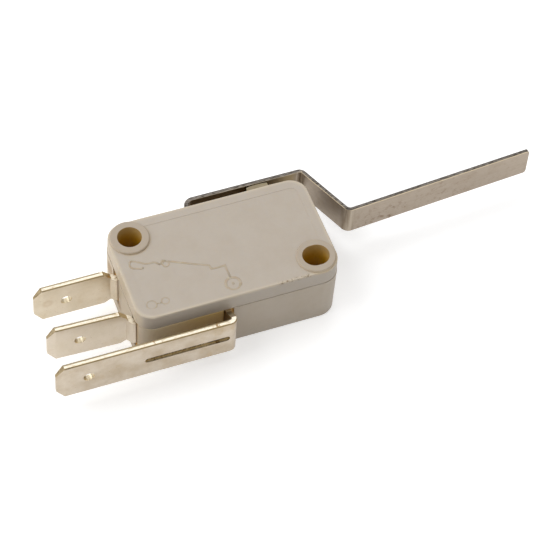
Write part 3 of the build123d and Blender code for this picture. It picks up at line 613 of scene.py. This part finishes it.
def lever_edge_colour(m, tears, shine):
    """The sheared edge: torn and dark, darkest outwards, with a painted highlight along its inner rim."""
    across = lever_across(m)
    colour = m.mix(m.step(tears, 0.36, 0.64), NICKEL_TORN_DARK, NICKEL_TORN_LIGHT)
    colour = m.mix(m.times(m.step(across, 0.1, 0.2), 0.7), colour, NICKEL_OUTER_RIM)
    return m.mix(m.times(m.step(across, -0.17, -0.21), shine), colour, NICKEL_INNER_RIM_HIGHLIGHT)


def lever_material():
    """Nickel-plated strip: satin faces, stained brown, and rough dark sheared edges with streaks; painted
    highlights along its rims, and painted reflections at the bends and on the faces towards the casing.
    """
    m = Material("nickel_plate", METAL)
    streaks = m.noise(0.5, 4.0, 0.6, m.stretched((0.12, 0.12, 2.5)))
    m.colour = m.mix(streaks, NICKEL_DARK, NICKEL_LIGHT)
    m.tint(m.blotches(0.42, 0.7, size=2.2, detail=5.0, roughness=0.65, seed=9.0), NICKEL_CLOUD, 0.35)
    stains_and_glow = m.blotches(0.52, 0.62, size=0.7, detail=6.0, roughness=0.75, seed=2.0)
    elbow = m.times(m.band(m.x, *ELBOW_STAIN_X), m.step(m.z, *ELBOW_STAIN_Z))
    worst = m.add(elbow, m.times(m.band(m.x, *ARM_STAIN_X), 0.35))
    m.tint(m.times(stains_and_glow, m.varied(worst, 0.14, 0.69)), NICKEL_STAIN)

    sheared = m.step(m.absolute(m.facing_z), 0.6, 0.9)
    face = m.inverse(sheared)
    tears = m.noise(0.22, 4.0, 0.65, m.turned(35.0, (0.35, 1.6, 1.0)), seed=4.0)
    shine = m.add(m.times(m.step(m.x, *CRANK_SHINE_X), 0.5), m.times(m.step(m.x, *RUN_SHINE_X), 0.3))
    m.tint(sheared, lever_edge_colour(m, tears, shine))
    # Painted highlight: a thin bright line along the top of the faces
    rim = m.times(face, m.step(m.z, LEVER_TOP - 0.12, LEVER_TOP - 0.04))
    m.tint(m.times(rim, shine), NICKEL_FACE_RIM_HIGHLIGHT)

    # Painted reflections of dark and bright bars on the faces at the bends
    bars = m.blotches(0.35, 0.65, size=0.55, detail=2.0, places=m.stretched((1.0, 1.0, 0.08)), seed=21.0)
    bends = m.larger(*[m.patch(*stain, m.plan) for stain in BEND_REFLECTIONS])
    m.tint(m.times(bends, face), m.mix(bars, BEND_REFLECTION_DARK, BEND_REFLECTION_BRIGHT), 0.6)
    facing_casing = m.times(
        m.step(m.facing_y, -0.5, -0.8),
        m.step(m.x, *REFLECTION_X),
        m.step(m.z, LEVER_TOP, LEVER_TOP - 0.15),
    )
    m.tint(facing_casing, m.mix(m.step(m.x, *REFLECTED_BEIGE_X), REFLECTED_AMBER, REFLECTED_BEIGE))
    m.put("Base Color", m.colour)
    m.put("Roughness", m.add(m.varied(streaks, 0.26, 0.4), m.times(sheared, 0.12)))
    m.bump(m.mix(sheared, streaks, tears), 0.012)
    return m.material


def stain_blade(m, end_x):
    """Haze, a ring-shaped stain, a browner upper part near the root, and dark spots."""
    haze = m.blotches(0.5, 0.7, size=1.3, detail=6.0, roughness=0.7, seed=12.0)
    m.tint(m.times(haze, m.varied(m.step(m.x, *HAZE_X), 0.22, 0.52)), TIN_HAZE)
    ring = m.varied(m.step(m.distance(BLADE_STAIN[0]), 0.1, 0.5), 0.5, 1.0)
    m.tint(m.times(m.patch(*BLADE_STAIN), ring), TIN_STAIN, 0.25)
    upper = m.times(m.step(m.z, BLADE_TOP - 1.85, BLADE_TOP - 0.15), m.step(m.x, end_x - 5.0, end_x))
    m.tint(upper, TIN_UPPER, 0.35)
    m.tint(m.blotches(0.62, 0.7, size=0.3, detail=4.0, roughness=0.7, seed=6.0), TIN_SPOT, 0.5)


def blade_edge_colour(m, scrapes, middle_line, end_x):
    """The sheared top edge: bright and scraped, with darker rims and brown nicks in the long blade."""
    colour = m.mix(m.step(scrapes, 0.46, 0.72), TIN_TORN_LIGHT, TIN_TORN_DARK)
    across = m.across(*middle_line)
    blade = m.times(m.step(m.x, end_x, end_x - 0.3), m.step(m.z, BLADE_TOP - 0.45, BLADE_TOP - 0.25))
    colour = m.mix(m.times(blade, m.step(across, 0.06, 0.16), 0.9), colour, TIN_BACK_RIM)
    slanted = m.turned(25.0, (1.0, 0.25, 0.0))
    nicks = m.blotches(0.6, 0.64, size=0.55, detail=2.0, roughness=0.6, places=slanted, seed=31.0)
    nicks = m.times(nicks, m.step(m.y, *NICKS_Y), m.step(m.x, *NICKS_X))
    colour = m.mix(m.times(nicks, 0.8), colour, TIN_NICK)
    return m.mix(m.times(blade, m.step(across, -0.19, -0.26), 0.6), colour, TIN_FRONT_RIM)


def colour_slopes(m, scrapes):
    """Slanting faces: the shoulders and bevels, the dark tips, and painted light on the long blade's leg,
    which lies in the cover's shade.
    """
    sloped = m.band(m.facing_z, 0.3, 0.5, 0.85, 0.95)
    tip = m.mix(m.step(scrapes, 0.4, 0.6), TIN_TIP_DARK, TIN_TIP_LIGHT)
    slope = m.mix(m.step(m.z, BLADE_TOP - 0.15, BLADE_TOP - 0.11), TIN_SHOULDER, TIN_BEVEL)
    m.tint(sloped, m.mix(m.step(m.x, *TIP_BEVEL_X), slope, tip), 0.8)
    # Painted light on the long blade's leg, in the shade of the cover
    m.tint(m.times(m.step(m.x, *LEG_X), m.step(m.y, *LEG_Y), sloped), TIN_LEG_LIGHT)


def colour_groove(m):
    """The groove along the long blade: painted shade under its upper lip, and painted light on its ribbed
    lower side, which faces up.
    """
    down = m.minus(m.z, BLADE_MIDDLE_Z)
    sideways = m.absolute(m.minus(m.x, BEAD_MIDDLE_X))
    groove = m.times(
        m.band(m.y, BEAD_FACE_Y + 0.01, BEAD_FACE_Y + 0.09, BEAD_FACE_Y + 0.4, BEAD_FACE_Y + 0.55),
        m.step(m.absolute(down), BEAD_HALF_WIDTH, BEAD_HALF_WIDTH - 0.04),
        m.step(sideways, BEAD_HALF_LENGTH, BEAD_HALF_LENGTH - 0.15),
        m.step(m.facing_z, 0.75, 0.45),
    )
    ribs = m.blotches(0.5, 0.6, size=0.25, roughness=0.6, places=m.stretched((1.0, 0.2, 0.2)), seed=14.0)
    # Painted shade in the groove's upper part, painted light on its lower side
    groove_shading = m.mix(m.step(down, -0.1, -0.36), GROOVE_SHADE, GROOVE_LIT_SIDE)
    m.tint(groove, m.mix(m.times(ribs, 0.6), groove_shading, GROOVE_RIB), 0.9)


def blade_material(name, middle_line, end_x, pale, deep):
    """Tinned brass: pale satin gold, lightly stained. The middle line is seen from above, up to end_x."""
    m = Material(name, METAL)
    fine = m.noise(0.3, 5.0, 0.7, seed=1.5)
    clouds = m.blotches(0.3, 0.7, size=3.0, detail=5.0, roughness=0.6)
    m.colour = m.scaled(m.mix(clouds, pale, deep), m.varied(fine, 0.93, 1.05))
    stain_blade(m, end_x)
    edge = m.step(m.facing_z, 0.9, 0.98)
    scrapes = m.noise(0.26, 4.0, 0.65, m.turned(40.0, (0.4, 1.8, 1.0)), seed=4.0)
    m.tint(edge, blade_edge_colour(m, scrapes, middle_line, end_x))
    colour_slopes(m, scrapes)
    colour_groove(m)
    detent = (middle_line[0][0] + DETENT_INSET, 0.0, BLADE_MIDDLE_Z)
    bore = m.patch(detent, 1.1, 0.95, m.stretched((1.0, 0.0, 1.0)))
    m.tint(m.times(bore, m.step(m.absolute(m.facing_y), 0.6, 0.3)), TIN_BORE)
    m.put("Base Color", m.colour)
    m.put("Roughness", m.add(m.varied(fine, 0.24, 0.4), m.times(edge, 0.1)))
    m.bump(m.mix(edge, fine, scrapes), 0.01)
    return m.material


def plain_metal(name, first, second, roughness):
    """A small drawn or turned part: soft streaks and a little tarnish."""
    m = Material(name, METAL)
    fine = m.noise(0.3, 4.0, 0.65)
    m.put("Base Color", m.mix(m.blotches(0.3, 0.7, size=1.2, detail=4.0), first, second))
    m.put("Roughness", m.varied(fine, roughness, roughness + 0.12))
    m.bump(fine, 0.005)
    return m.material


def dress(node, material):
    """Gives a node its material."""
    mesh = frame["nodes"][node].data
    mesh.materials.clear()
    mesh.materials.append(material)


def dress_all():
    dress("cover", cover_material())
    dress("base_casing", base_material())
    dress("plunger", plunger_material())
    dress("lever", lever_material())
    for name, (run, end_x, pale, deep) in BLADES.items():
        middle_line = line(mount_place(f"{name}_tab"), run)
        dress(f"{name}_terminal", blade_material(f"{name}_tinned_brass", middle_line, end_x, pale, deep))
    metals = {name: plain_metal(name, *looks) for name, looks in INNER_METALS.items()}
    for node, metal in INNER_PIECES.items():
        dress(node, metals[metal])


def scene_object(name, data):
    obj = bpy.data.objects.new(name, data)
    bpy.context.scene.collection.objects.link(obj)
    return obj


def mesh_object(name, bm, material):
    """An object from a bmesh, shaded smooth."""
    mesh = bpy.data.meshes.new(name)
    bm.to_mesh(mesh)
    bm.free()
    mesh.materials.append(material)
    for polygon in mesh.polygons:
        polygon.use_smooth = True
    return scene_object(name, mesh)


def ridge(bm, points, z, width=RIDGE_WIDTH, height=RIDGE_HEIGHT, closed=False):
    """A thin raised line along points, round on top."""
    count = len(points)
    rows = []
    for i, point in enumerate(points):
        here = Vector(point)
        directions = []
        if closed or i:
            directions.append((here - Vector(points[i - 1])).normalized())
        if closed or i < count - 1:
            directions.append((Vector(points[(i + 1) % count]) - here).normalized())
        along = sum(directions, Vector((0, 0))).normalized()
        side = Vector((-along.y, along.x)) / max(along.dot(directions[0]), SHARPEST_MITRE)
        row = []
        for k in range(RIDGE_STEPS + 1):
            angle = math.pi * k / RIDGE_STEPS
            offset = side * (width / 2 * math.cos(angle))
            rise = height * math.sin(angle) - (RIDGE_SINK if k in (0, RIDGE_STEPS) else 0)
            row.append(bm.verts.new(((here.x + offset.x) * MM, (here.y + offset.y) * MM, (z + rise) * MM)))
        rows.append(row)
    pairs = list(zip(rows, rows[1:]))
    if closed:
        pairs.append((rows[-1], rows[0]))
    for first, second in pairs:
        for k in range(RIDGE_STEPS):
            bm.faces.new((first[k], first[k + 1], second[k + 1], second[k]))
    for first, second in pairs:
        bm.faces.new((first[0], second[0], second[-1], first[-1]))
    if not closed:
        bm.faces.new(rows[0])
        bm.faces.new(list(reversed(rows[-1])))


def circle_points(centre, radius, steps):
    turns = [2 * math.pi * i / steps for i in range(steps)]
    return [(centre[0] + radius * math.cos(t), centre[1] + radius * math.sin(t)) for t in turns]


def circuit_sign():
    """The circuit sign, moulded in low relief on the cover's panel."""
    z = COVER_TOP - PANEL_DROP
    bm = bmesh.new()
    for points in SIGN_LINES:
        ridge(bm, points, z)
    ridge(bm, circle_points(RING_CENTRE, RING_RADIUS, RING_STEPS), z, RING_WIDTH, closed=True)
    ridge(bm, circle_points(RING_CENTRE, DOT_RADIUS, DOT_STEPS), z, DOT_RADIUS, closed=True)
    ridge(bm, circle_points(HINGE_CENTRE, HINGE_RADIUS, SMALL_RING_STEPS), z, FINE_WIDTH, closed=True)
    for centre, radius in FAINT_RINGS:
        ridge(bm, circle_points(centre, radius, SMALL_RING_STEPS), z, FINE_WIDTH, FAINT_HEIGHT, closed=True)
    ridge(bm, FAINT_LINE, z, FINE_WIDTH, FAINT_HEIGHT)
    bmesh.ops.recalc_face_normals(bm, faces=bm.faces)
    obj = mesh_object("cover_schematic", bm, sign_material())
    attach(obj, "casing")


def sweep_material():
    """A white sweep that shows white to the camera and in reflections, and keeps the shadow."""
    m = Material("white_sweep", SWEEP)
    path = m.tree.nodes.new("ShaderNodeLightPath")
    seen = m.larger(path.outputs["Is Camera Ray"], path.outputs["Is Glossy Ray"])
    m.put("Emission Strength", m.times(seen, FLOOR_GLOW))
    return m.material


def floor():
    bm = bmesh.new()
    bmesh.ops.create_grid(bm, x_segments=2, y_segments=2, size=FLOOR_REACH)
    obj = mesh_object("floor", bm, sweep_material())
    obj.location = (CAMERA_TARGET[0] * MM, CAMERA_TARGET[1] * MM, -FLOOR_DROP)


def direction(azimuth, elevation):
    """Where a camera or a lamp stands, seen from the object. Azimuth 0 is in front of it, along -Y."""
    a, e = math.radians(azimuth), math.radians(elevation)
    return Vector((math.sin(a) * math.cos(e), -math.cos(a) * math.cos(e), math.sin(e)))


def lamp(name, azimuth, elevation, distance, size, power):
    """A square lamp that points at the object."""
    light = bpy.data.lights.new(name, "AREA")
    light.size = size
    light.energy = power
    back = direction(azimuth, elevation)
    obj = scene_object(name, light)
    obj.location = Vector(CAMERA_TARGET) * MM + back * distance
    obj.rotation_euler = back.to_track_quat("Z", "Y").to_euler()


def lights():
    world = bpy.data.worlds.new("studio")
    bpy.context.scene.world = world
    world.use_nodes = True
    background = world.node_tree.nodes["Background"]
    background.inputs["Color"].default_value = WHITE
    background.inputs["Strength"].default_value = WORLD_STRENGTH
    for name, settings in LAMPS.items():
        lamp(name, **settings)


def camera():
    """A camera at the photograph's angle, with the same framing."""
    back = direction(CAMERA_AZIMUTH, CAMERA_ELEVATION)
    roll = math.radians(CAMERA_ROLL)
    level = Vector((0, 0, 1)).cross(back).normalized()
    upright = back.cross(level)
    right = level * math.cos(roll) + upright * math.sin(roll)
    up = upright * math.cos(roll) - level * math.sin(roll)
    data = bpy.data.cameras.new("camera")
    data.sensor_width = SENSOR_WIDTH
    data.lens = SENSOR_WIDTH * CAMERA_FOCAL_PIXELS / PICTURE_SIZE
    data.clip_start = CAMERA_NEAREST
    data.clip_end = CAMERA_FARTHEST
    obj = scene_object("camera", data)
    turn = Matrix((right, up, back)).transposed().to_4x4()
    obj.matrix_world = Matrix.Translation(Vector(CAMERA_TARGET) * MM + back * CAMERA_DISTANCE * MM) @ turn
    bpy.context.scene.camera = obj


dress_all()
circuit_sign()
floor()
lights()
camera()
bpy.context.scene.view_settings.view_transform = "Standard"
